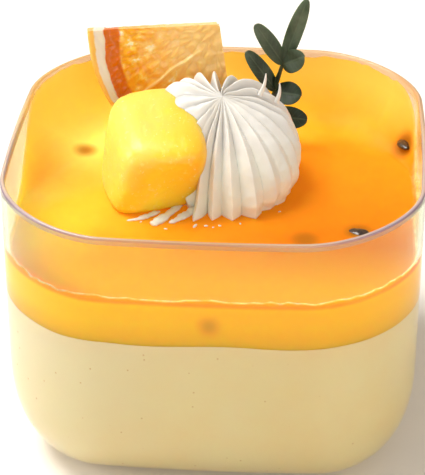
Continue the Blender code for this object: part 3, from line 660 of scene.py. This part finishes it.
def make_leaf(number, base, tip, facing, width):
    """An oval blade: a thin section whose width follows (1 - (2t - 1)^2)^0.5, folded along its midrib."""
    base, tip = (np.array(value) * MM + SPRIG_AT for value in (base, tip))
    length = np.linalg.norm(tip - base)
    along = (tip - base) / length
    side = np.cross(facing, along)
    side /= np.linalg.norm(side)
    up = np.cross(along, side)
    t = (1 - np.cos(np.linspace(0, math.pi, 34)))[:, None] / 2
    around = np.linspace(0, TURN, 36, endpoint=False)[None, :]
    reach = LEAF_END_SHARE + (1 - LEAF_END_SHARE) * np.sqrt(np.maximum(1 - (2 * t - 1) ** 2, 0))
    across = np.cos(around)
    groove = np.exp(-((across / 0.10) ** 2))
    vein = 0.5 + 0.5 * np.cos(TURN * (t * 7 - np.abs(across) * 1.1))
    half_thick = LEAF_THICK / 2 * (1 - 0.55 * across**2) * (1 - 0.15 * groove + 0.10 * vein * (1 - groove))
    lift = LEAF_FOLD * width * MM * np.abs(across) * reach + LEAF_CURL * length * (t - t**2)
    wave = 0.03 * width * MM * np.sin(9 * t + 2 * across)
    spot = along * (length * t)[..., None] + side * (across * reach * width * MM / 2)[..., None]
    spot = spot + up * (lift + wave + half_thick * np.sin(around) * (0.4 + 0.6 * reach))[..., None]
    rows = base + spot
    made = skin(f"leaf_{number}", rows, rows[0].mean(axis=0), rows[-1].mean(axis=0))
    uv = np.stack((t + 0 * across, 0.5 + 0.5 * across + 0 * t), axis=-1).reshape(-1, 2)
    lay_uv(made, np.vstack((uv, (0, 0.5), (1, 0.5))))
    return made


def make_stem():
    """A round tube along a smooth curve, thinner towards its top."""
    points = np.array(STEM_POINTS) * MM + SPRIG_AT
    path = np.stack([smooth_profile(points[:, (axis, 2)], 40)[:, 0] for axis in (0, 1)], axis=-1)
    height = smooth_profile(points[:, (0, 2)], 40)[:, 1]
    around = np.linspace(0, TURN, 14, endpoint=False)
    radius = STEM_RADIUS * np.linspace(1, 0.7, 40)[:, None]
    x = path[:, :1] + radius * np.cos(around)
    y = path[:, 1:] + radius * np.sin(around)
    rows = np.stack((x, y, np.broadcast_to(height[:, None], x.shape)), axis=-1)
    return skin("sprig_stem", rows, rows[0].mean(axis=0), rows[-1].mean(axis=0))


def make_seeds():
    """Flattened teardrops, each with shallow pits: radius sin(v)^0.9 x (1 - 0.25 cos v) round a long axis."""
    v = np.linspace(0, math.pi, 22)[1:-1, None]
    around = np.linspace(0, TURN, 26, endpoint=False)[None, :]
    body = np.sin(v) ** 0.9 * (1 - 0.25 * np.cos(v)) / 2
    x = -np.cos(v) / 2 * SEED_LENGTH + 0 * around
    shape = np.stack((x, body * np.cos(around) * SEED_WIDTH, body * np.sin(around) * SEED_THICK), axis=-1)
    made = []
    for number, (px, py, pz, heading, tilt) in enumerate(SEEDS, 1):
        pits = 1 + 0.05 * ripple(shape, 0.9 * MM, 60 + number)
        turn = Matrix.Rotation(math.radians(heading), 3, "Z") @ Matrix.Rotation(math.radians(tilt), 3, "Y")
        turn, place = np.array(turn).T, np.array((px, py, pz)) * MM
        rows = (shape * pits[..., None]) @ turn + place
        ends = np.array(((-SEED_LENGTH / 2, 0, 0), (SEED_LENGTH / 2, 0, 0))) @ turn + place
        made.append(skin(f"seed_{number}", rows, ends[0], ends[1]))
    return made


def make_floor():
    reach = 2.0
    points = np.array(((-reach, -reach, 0), (reach, -reach, 0), (reach, reach, 0), (-reach, reach, 0)))
    return piece("floor", points, [[0, 1, 2, 3]])


# Finishes


def finish_named(name, **sockets):
    """A new Principled finish with these socket values, and its node tree, its shader and a point's place."""
    material = bpy.data.materials.new(name)
    material.use_nodes = True
    tree = material.node_tree
    shader = tree.nodes["Principled BSDF"]
    for socket, value in sockets.items():
        shader.inputs[socket.replace("_", " ")].default_value = value
    return material, tree, shader, node(tree, "ShaderNodeTexCoord").outputs["Object"]


def node(tree, kind, values=None, **settings):
    made = tree.nodes.new(kind)
    for key, value in settings.items():
        setattr(made, key, value)
    for socket, value in (values or {}).items():
        if hasattr(value, "is_output"):
            tree.links.new(value, made.inputs[socket])
        else:
            made.inputs[socket].default_value = value
    return made


def stretched(tree, vector, scale):
    return node(tree, "ShaderNodeMapping", {"Vector": vector, "Scale": scale}).outputs["Vector"]


def noise(tree, vector, size, detail=3.0, rough=0.5):
    """Noise whose features are about this many metres across."""
    values = {"Vector": vector, "Scale": 1 / size, "Detail": detail, "Roughness": rough}
    return node(tree, "ShaderNodeTexNoise", values).outputs["Fac"]


def cells(tree, vector, size, feature="F1"):
    made = node(tree, "ShaderNodeTexVoronoi", {"Vector": vector, "Scale": 1 / size}, feature=feature)
    return made.outputs["Distance"]


def ramp(tree, factor, *stops):
    """A ramp; each stop is its place and then one grey value or a screen colour of 0 to 255."""
    made = node(tree, "ShaderNodeValToRGB", {"Fac": factor})
    elements = made.color_ramp.elements
    while len(elements) < len(stops):
        elements.new(0.5)
    for element, (place, *value) in zip(elements, stops):
        element.position = place
        element.color = colour(*value) if len(value) == 3 else (*value * 3, 1)
    return made.outputs["Color"]


def mixed(tree, factor, first, second, blend="MIX"):
    values = {0: factor, 6: first, 7: second}
    return node(tree, "ShaderNodeMix", values, data_type="RGBA", blend_type=blend).outputs[2]


def sums(tree, operation, first, second=0.0, third=0.0, clamp=False):
    made = node(tree, "ShaderNodeMath", {0: first, 1: second, 2: third}, operation=operation, use_clamp=clamp)
    return made.outputs[0]


def spread(tree, value, start, end, low=0.0, high=1.0, curve="LINEAR"):
    """low up to start and high from end on, with a slope between them."""
    values = {0: value, 1: start, 2: end, 3: low, 4: high}
    return node(tree, "ShaderNodeMapRange", values, interpolation_type=curve).outputs[0]


def distance(tree, place, point):
    return node(tree, "ShaderNodeVectorMath", {0: place, 1: point}, operation="DISTANCE").outputs["Value"]


def axes(tree, vector):
    return node(tree, "ShaderNodeSeparateXYZ", {0: vector}).outputs


def marked(tree, name):
    """The numbers that mark wrote on the mesh under this name."""
    return node(tree, "ShaderNodeAttribute", attribute_name=name).outputs["Fac"]


def stained(tree, base, factor, share, tint):
    """The base mixed by factor x share towards a screen colour."""
    return mixed(tree, sums(tree, "MULTIPLY", factor, share), base, colour(*tint))


def feed(tree, shader, value, socket="Base Color"):
    tree.links.new(value, shader.inputs[socket])


def bump(tree, shader, height, depth, strength=1.0, coat=False):
    made = node(tree, "ShaderNodeBump", {"Height": height, "Distance": depth, "Strength": strength})
    feed(tree, shader, made.outputs["Normal"], "Normal")
    if coat:
        feed(tree, shader, made.outputs["Normal"], "Coat Normal")


def clear_plastic():
    """Clear plastic: thin, glossy, with a little haze, slow waves, a faint tint over the jelly and painted
    shade under the back rim.
    """
    material, tree, shader, place = finish_named(
        "clear_plastic", IOR=1.42, Specular_IOR_Level=0.3, Transmission_Weight=1.0, Roughness=0.03
    )
    haze = ramp(tree, noise(tree, place, 9 * MM, 4), (0.3, 0.01), (0.7, 0.05))
    feed(tree, shader, haze, "Roughness")
    bump(tree, shader, noise(tree, stretched(tree, place, (1, 1, 0.35)), 12 * MM, 1), 0.10 * MM, 0.5)
    split = axes(tree, place)
    behind = spread(tree, split[1], -6 * MM, 16 * MM)
    above = spread(tree, split[2], 50 * MM, 55 * MM)
    empty = spread(tree, split[2], 44.5 * MM, 46.5 * MM)
    tint = mixed(tree, empty, colour(255, 247, 238), colour(230, 241, 214))
    # Painted shade: the top of the back wall, under the rim, is tinted darker towards beige grey
    tint = stained(tree, tint, behind, above, (222, 206, 182))
    feed(tree, shader, tint)
    return material


def lip_plastic():
    """The same plastic at its rounded lip, its colours painted light: a rose grey painted shade outside,
    turning purple grey on the sides towards the front, and a paler painted line inside.
    """
    material, tree, shader, place = finish_named(
        "plastic_lip", IOR=1.42, Transmission_Weight=0.5, Roughness=0.12
    )
    split = axes(tree, place)
    # Painted shade and painted highlight: the lip's colours stand in for the dark line outside and the pale
    # line inside that light draws along the rim
    aside = sums(tree, "MULTIPLY", sums(tree, "ABSOLUTE", split[0]), 25.0, clamp=True)
    ahead = sums(tree, "MULTIPLY_ADD", split[1], -30.0, 0.6, clamp=True)
    painted_rim_shade = sums(tree, "MULTIPLY", aside, ahead)
    outer = ramp(tree, painted_rim_shade, (0.10, 196, 164, 140), (0.35, 206, 172, 138), (0.75, 174, 150, 170))
    inner = ramp(tree, painted_rim_shade, (0.10, 232, 196, 154), (0.45, 238, 214, 192), (0.80, 226, 206, 208))
    outside = ramp(tree, marked(tree, "outside"), (0.5, 0.0), (0.95, 1.0))
    feed(tree, shader, mixed(tree, outside, inner, outer))
    return material


def mousse_finish():
    """Pale aerated mousse: soft mottling, painted light that makes it paler to the left and higher up, and a
    few pinprick bubbles where it meets the wall.
    """
    material, tree, shader, place = finish_named(
        "mousse", Roughness=0.6, Subsurface_Weight=0.35, Subsurface_Radius=(1.0, 0.7, 0.35),
        Subsurface_Scale=2 * MM
    )
    mottle = noise(tree, place, 12 * MM, 4, 0.55)
    base = ramp(tree, mottle, (0.30, 255, 237, 179), (0.70, 255, 243, 192))
    split = axes(tree, place)
    # Painted light: a paler veil to the left and higher up, for the light from the left and its reflection on
    # the wall
    pale = sums(tree, "MULTIPLY_ADD", split[0], -26.0, -0.35)
    pale = sums(tree, "MULTIPLY_ADD", split[2], 14.0, pale, clamp=True)
    base = mixed(tree, pale, base, colour(255, 250, 216))
    pin = ramp(tree, cells(tree, place, 3.2 * MM), (0.03, 0.0), (0.08, 1.0))
    feed(tree, shader, mixed(tree, pin, colour(232, 204, 140), base))
    bump(tree, shader, pin, 0.05 * MM, 0.5)
    return material


def jelly_finish():
    """Passion fruit jelly: amber yellow, cloudy, wet on top, with painted light: yellow on the lit left, deep
    orange in the painted shade of the cream to the front right, paler up the wall, and a painted glow,
    brightest in its side band.

    Deep seeds show as soft brown shades: the distance to the nearest one darkens the colour. A pale line of
    bubbles, with a painted highlight at half strength along the sides, marks where the jelly meets the wall,
    strongest in front.
    """
    material, tree, shader, place = finish_named(
        "passion_fruit_jelly", Roughness=0.45, IOR=1.33, Specular_IOR_Level=0.08, Transmission_Weight=0.12,
        Subsurface_Weight=1.0, Subsurface_Radius=(1.0, 0.42, 0.08), Subsurface_Scale=6 * MM,
        Emission_Strength=0.22
    )
    split = axes(tree, place)
    # Painted light and shade: yellow towards the lit left, deep orange towards the front right in the cream's
    # shadow, with cloudy tone from noise
    aside = sums(tree, "MULTIPLY", split[0], 9.0)
    falling = sums(tree, "MULTIPLY_ADD", aside, -0.4, 0.26)
    painted_light_and_cloud = sums(tree, "ADD", sums(tree, "MINIMUM", aside, falling), 0.45)
    painted_light_and_cloud = sums(tree, "MULTIPLY_ADD", split[1], -8.0, painted_light_and_cloud)
    cloud = sums(tree, "SUBTRACT", noise(tree, place, 14 * MM, 3, 0.55), 0.5)
    painted_light_and_cloud = sums(tree, "MULTIPLY_ADD", cloud, 0.2, painted_light_and_cloud, clamp=True)
    base = ramp(
        tree, painted_light_and_cloud, (0.10, 255, 244, 116), (0.24, 255, 206, 60), (0.46, 248, 152, 26),
        (0.72, 212, 114, 12)
    )
    # Painted shade: a deeper orange patch on the jelly's top, left of the mango
    beside = spread(tree, distance(tree, place, SHADE_PATCH_BESIDE_MANGO), 15 * MM, 3 * MM)
    base = stained(tree, base, beside, 0.7, (238, 150, 30))
    # Painted light: yellower towards the front wall and a brighter yellow down the side band, for light
    # scattered through the jelly
    ahead = spread(tree, split[1], -17 * MM, -32 * MM)
    base = stained(tree, base, ahead, 0.65, (252, 186, 18))
    height = split[2]
    deep = spread(tree, height, JELLY_TOP - 0.1 * MM, JELLY_TOP - 0.8 * MM)
    base = mixed(tree, deep, base, ramp(tree, painted_light_and_cloud, (0.2, 255, 228, 30), (0.9, 255, 206, 16)))
    foot = spread(tree, height, 39.5 * MM, 35.5 * MM, 0.0, 0.85)
    base = mixed(tree, foot, base, colour(255, 180, 20))
    # Painted glow: the jelly gives off light of its own, yellower in its side band, standing in for light
    # scattered through it
    feed(tree, shader, mixed(tree, deep, colour(232, 128, 4), colour(255, 196, 6)), "Emission Color")
    # Painted light: the film that climbs the wall is paler yellow, so that it reads as brightly lit as the
    # top
    climb = spread(tree, height, JELLY_TOP + 2 * MM, JELLY_TOP + 9 * MM)
    base = stained(tree, base, climb, 0.55, (255, 228, 112))
    feed(tree, shader, sums(tree, "MULTIPLY_ADD", climb, -0.8, 1.0), "Subsurface Weight")
    nearest = 1.0
    for seed in SEEDS:
        middle = [value * MM for value in seed[:3]]
        nearest = sums(tree, "MINIMUM", nearest, distance(tree, place, middle))
    shade = spread(tree, nearest, 1.2 * MM, 4.0 * MM, 0.95, 0.0, "SMOOTHSTEP")
    base = mixed(tree, shade, base, colour(158, 90, 14))
    # The pale line where the jelly meets the wall: real bubbles in front, a painted highlight along the sides
    lumps = ramp(tree, noise(tree, place, 1.6 * MM, 3), (0.35, 0.25), (0.6, 1.0))
    base = stained(tree, base, marked(tree, "froth_and_painted_highlight"), lumps, (255, 232, 186))
    feed(tree, shader, base)
    bump(tree, shader, noise(tree, place, 6 * MM, 2), 0.08 * MM, 0.4)
    absorb = node(tree, "ShaderNodeVolumeAbsorption", {"Color": colour(255, 215, 60), "Density": 60.0})
    tree.links.new(absorb.outputs[0], tree.nodes["Material Output"].inputs["Volume"])
    return material


def cream_finish():
    """Whipped cream: white, soft, faintly glossy, with painted warm light from the jelly in the front
    troughs, painted shade in the back grooves and a painted cool tint low down that offsets the jelly's
    orange light.
    """
    material, tree, shader, place = finish_named(
        "whipped_cream", Roughness=0.36, Subsurface_Weight=0.6, Subsurface_Radius=(1.0, 0.9, 0.75),
        Subsurface_Scale=0.8 * MM
    )
    shade = noise(tree, place, 5 * MM, 4)
    base = ramp(tree, shade, (0.3, 222, 219, 213), (0.7, 228, 225, 219))
    # Painted light: the front troughs are warmer and lighter, for the jelly's orange light caught in them
    base = stained(tree, base, marked(tree, "trough"), 0.7, (244, 234, 208))
    # Painted shade: grey in the grooves between the upper back ridges
    base = stained(tree, base, marked(tree, "groove"), 0.75, (166, 164, 160))
    split = axes(tree, place)
    # Painted light: cooler and paler towards the foot, offsetting the orange light the jelly throws onto the
    # cream
    low = spread(tree, split[2], 57 * MM, 47 * MM, 0.0, 0.8)
    base = mixed(tree, low, base, colour(234, 244, 238))
    feed(tree, shader, base)
    bump(tree, shader, noise(tree, place, 0.5 * MM, 3), 0.03 * MM, 0.35)
    return material


def mango_finish():
    """Ripe mango: strong yellow, with painted light that makes it paler towards the lit top and left and
    painted shade that turns it orange beside the cream, and pale flecks and streaks along its fibres.
    """
    material, tree, shader, place = finish_named(
        "mango_flesh", Roughness=0.32, Subsurface_Weight=0.9, Subsurface_Radius=(1.0, 0.45, 0.06),
        Subsurface_Scale=6 * MM, Coat_Weight=0.1, Coat_Roughness=0.22
    )
    fibre = noise(tree, stretched(tree, place, (1.0, 0.25, 1.0)), 1.3 * MM, 4, 0.6)
    cloud = noise(tree, place, 6 * MM, 3)
    split = axes(tree, place)
    # Painted light: paler and duller towards the lit top and left, strong yellow lower down on the right,
    # with cloudy tone
    painted_light_and_blotch = sums(tree, "MULTIPLY_ADD", split[0], 70.0, 4.36)
    painted_light_and_blotch = sums(tree, "MULTIPLY_ADD", split[2], -56.0, painted_light_and_blotch)
    painted_light_and_blotch = sums(tree, "MULTIPLY_ADD", sums(tree, "SUBTRACT", cloud, 0.5), 0.8, painted_light_and_blotch, clamp=True)
    base = ramp(tree, painted_light_and_blotch, (0.1, 232, 210, 90), (0.5, 252, 214, 60), (0.95, 255, 234, 56))
    # Painted shade: orange on the right, beside the cream
    beside = spread(tree, split[0], -12 * MM, -3 * MM, 0.0, 0.8)
    base = mixed(tree, beside, base, colour(250, 180, 36))
    streak = ramp(tree, fibre, (0.58, 0.0), (0.72, 1.0))
    base = stained(tree, base, streak, 0.5, (252, 236, 130))
    fleck = ramp(tree, noise(tree, place, 0.9 * MM, 3, 0.7), (0.64, 0.0), (0.70, 1.0))
    base = stained(tree, base, fleck, 0.55, (255, 246, 190))
    feed(tree, shader, base)
    feed(tree, shader, ramp(tree, fibre, (0.3, 0.34), (0.7, 0.52)), "Roughness")
    bump(tree, shader, fibre, 0.11 * MM, 0.45, coat=True)
    return material


def orange_finish():
    """Orange slice: rind, pith, a sunken dark band in painted shadow and wet flesh with painted highlights,
    told apart by distance from the centre.
    """
    material, tree, shader, place = finish_named(
        "orange_slice", Roughness=0.25, Specular_IOR_Level=0.3, Subsurface_Weight=0.3,
        Subsurface_Radius=(1.0, 0.5, 0.12), Subsurface_Scale=0.8 * MM, Coat_Weight=0.15,
        Coat_Roughness=0.10
    )
    uv = node(tree, "ShaderNodeUVMap", uv_map="along_surface").outputs["UV"]
    split = axes(tree, uv)
    waver = sums(tree, "SUBTRACT", noise(tree, place, 2.4 * MM, 3), 0.5)
    radius = sums(tree, "MULTIPLY_ADD", waver, 0.035, split[0])
    sacs = noise(tree, place, 2.4 * MM, 4, 0.6)
    streaks = noise(tree, stretched(tree, uv, (7, 26, 1)), 1.0, 3, 0.6)
    sacs = sums(tree, "MULTIPLY_ADD", streaks, 0.4, sums(tree, "MULTIPLY", sacs, 0.6))
    # The top stop, near white, is a painted highlight: wet glints on the juice sacs
    flesh = ramp(
        tree, sacs, (0.38, 236, 146, 14), (0.50, 246, 174, 34), (0.58, 254, 202, 84),
        (0.64, 255, 240, 200)
    )
    core = spread(tree, split[0], 0.66, 0.30, 0.0, 0.85)
    flesh = mixed(tree, core, flesh, colour(255, 208, 128))
    line = spread(tree, marked(tree, "off_membrane"), 0.12 * MM, 0.45 * MM, 0.75, 0.0)
    flesh = mixed(tree, line, flesh, colour(255, 222, 150))
    zone = ramp(tree, radius, *ORANGE_ZONES)
    # The dark band's colour is painted shadow
    for start, end, tint in ORANGE_TINTS:
        flesh = mixed(tree, ramp(tree, zone, (start, 0.0), (end, 1.0)), flesh, colour(*tint))
    feed(tree, shader, flesh)
    bump(tree, shader, sacs, 0.25 * MM, 0.5, coat=True)
    return material


def leaf_finish():
    """Dark glossy leaf: paler midrib and side veins on a deep green that varies slowly, with painted light
    that makes the upper leaves paler and the lower ones darker.
    """
    material, tree, shader, place = finish_named(
        "sprig_leaf", Roughness=0.55, Subsurface_Weight=0.15, Subsurface_Radius=(0.4, 1.0, 0.2),
        Subsurface_Scale=0.6 * MM
    )
    uv = node(tree, "ShaderNodeUVMap", uv_map="along_surface").outputs["UV"]
    along = axes(tree, uv)
    off_rib = sums(tree, "ABSOLUTE", sums(tree, "SUBTRACT", along[1], 0.5))
    blotch = noise(tree, place, 3 * MM, 4)
    # Painted light: the upper leaves paler and greyer, for the sheen of light on them, the lower ones darker,
    # for the shade they stand in
    lower = ramp(tree, blotch, (0.3, 16, 28, 10), (0.7, 34, 54, 26))
    upper = ramp(tree, blotch, (0.3, 54, 70, 44), (0.7, 92, 102, 78))
    base = mixed(tree, spread(tree, axes(tree, place)[2], 57 * MM, 72 * MM), lower, upper)
    rib = ramp(tree, off_rib, (0.02, 1.0), (0.06, 0.0))
    slanted = sums(tree, "MULTIPLY", off_rib, -16.0)
    wave = sums(tree, "SINE", sums(tree, "MULTIPLY_ADD", along[0], 44.0, slanted))
    veins = ramp(tree, wave, (0.80, 0.0), (0.98, 0.35))
    lines = mixed(tree, 1.0, rib, veins, "LIGHTEN")
    feed(tree, shader, stained(tree, base, lines, 0.25, (110, 124, 92)))
    bump(tree, shader, lines, 0.05 * MM, 0.5)
    return material


def stem_finish():
    material, tree, shader, place = finish_named("sprig_stem", Roughness=0.5)
    base = ramp(tree, noise(tree, place, 2 * MM, 3), (0.3, 30, 40, 18), (0.7, 54, 64, 32))
    feed(tree, shader, base)
    return material


def seed_finish():
    """Passion fruit seed: nearly black, pitted, glossy."""
    material, tree, shader, place = finish_named("seed", Roughness=0.3, Coat_Weight=0.4, Coat_Roughness=0.1)
    pits = cells(tree, place, 0.5 * MM)
    base = ramp(tree, pits, (0.1, 24, 14, 8), (0.6, 66, 42, 22))
    feed(tree, shader, base)
    bump(tree, shader, pits, 0.08 * MM, 0.8)
    return material


def floor_finish():
    material, tree, shader, place = finish_named("pale_table", Roughness=0.6)
    base = ramp(tree, noise(tree, place, 0.08, 4), (0.3, 246, 240, 232), (0.7, 249, 244, 237))
    feed(tree, shader, base)
    return material


def dress(made, finish, node_name):
    """Gives a piece its finish, ties it to its body and hides the solid that it stands for."""
    made.data.materials.append(finish)
    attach(made, "root")
    if node_name:
        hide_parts(node_name)


# Camera and light
CAMERA_TARGET = (-1.38 * MM, 1.20 * MM, 33.69 * MM)
CAMERA_TURN, CAMERA_RISE, CAMERA_ROLL = math.radians(4.435), math.radians(31.35), math.radians(-0.346)
CAMERA_DISTANCE = 375.05 * MM
LENS, SENSOR = 141.92, 36.0
WORLD_STRENGTH = 0.40
# Each light's name, place, size, power in watts and tint
LIGHTS = (
    ("key", (-0.44, 0.16, 0.86), 0.50, 10.2, (1.0, 0.97, 0.92)),
    ("left", (-0.85, 0.0, 0.30), 0.40, 3.0, (1.0, 0.97, 0.93)),
    ("fill", (0.30, -0.95, 0.35), 0.7, 3.6, (1.0, 0.98, 0.96)),
    ("right", (0.85, -0.15, 0.22), 0.5, 1.2, (1.0, 0.86, 0.68)),
)


def add_camera():
    back = Vector(
        (
            math.sin(CAMERA_TURN) * math.cos(CAMERA_RISE),
            -math.cos(CAMERA_TURN) * math.cos(CAMERA_RISE),
            math.sin(CAMERA_RISE),
        )
    )
    right = Vector((math.cos(CAMERA_TURN), math.sin(CAMERA_TURN), 0))
    up = back.cross(right)
    c, s = math.cos(CAMERA_ROLL), math.sin(CAMERA_ROLL)
    view = Matrix((c * right + s * up, c * up - s * right, back)).transposed().to_4x4()
    view.translation = Vector(CAMERA_TARGET) + back * CAMERA_DISTANCE
    lens = bpy.data.cameras.new("camera")
    lens.sensor_fit, lens.sensor_height, lens.lens = "VERTICAL", SENSOR, LENS
    lens.clip_start, lens.clip_end = 0.01, 10
    camera = bpy.data.objects.new("camera", lens)
    camera.matrix_world = view
    bpy.context.scene.collection.objects.link(camera)
    bpy.context.scene.camera = camera


def add_light(name, place, size, power, tint):
    """A soft square light that faces the cup."""
    light = bpy.data.lights.new(name, "AREA")
    light.shape, light.size, light.energy, light.color = "SQUARE", size, power, tint
    lamp = bpy.data.objects.new(name, light)
    aim = Vector((0, 0, 0.04)) - Vector(place)
    lamp.matrix_world = Matrix.Translation(place) @ aim.to_track_quat("-Z", "Y").to_matrix().to_4x4()
    bpy.context.scene.collection.objects.link(lamp)


def add_studio():
    world = bpy.data.worlds.new("studio")
    world.use_nodes = True
    background = world.node_tree.nodes["Background"]
    background.inputs["Color"].default_value = colour(255, 250, 245)
    background.inputs["Strength"].default_value = WORLD_STRENGTH
    bpy.context.scene.world = world
    for light in LIGHTS:
        add_light(*light)
    bpy.context.scene.view_settings.view_transform = "Standard"


add_camera()
add_studio()
make_floor()
bpy.data.objects["floor"].data.materials.append(floor_finish())
cup = make_cup()
dress(cup, clear_plastic(), "cup")
cup.data.materials.append(lip_plastic())
dress(make_mousse(), mousse_finish(), "mousse")
dress(make_jelly(), jelly_finish(), "jelly")
cream = cream_finish()
dress(make_cream(), cream, "cream")
for wisp in make_wisps():
    dress(wisp, cream, None)
dress(make_mango(), mango_finish(), "mango")
dress(make_orange(), orange_finish(), "orange_slice")
leaf = leaf_finish()
for number, blade in enumerate(LEAVES, 1):
    dress(make_leaf(number, *blade), leaf, None)
dress(make_stem(), stem_finish(), "leaf_sprig")
seed = seed_finish()
for grain in make_seeds():
    dress(grain, seed, None)
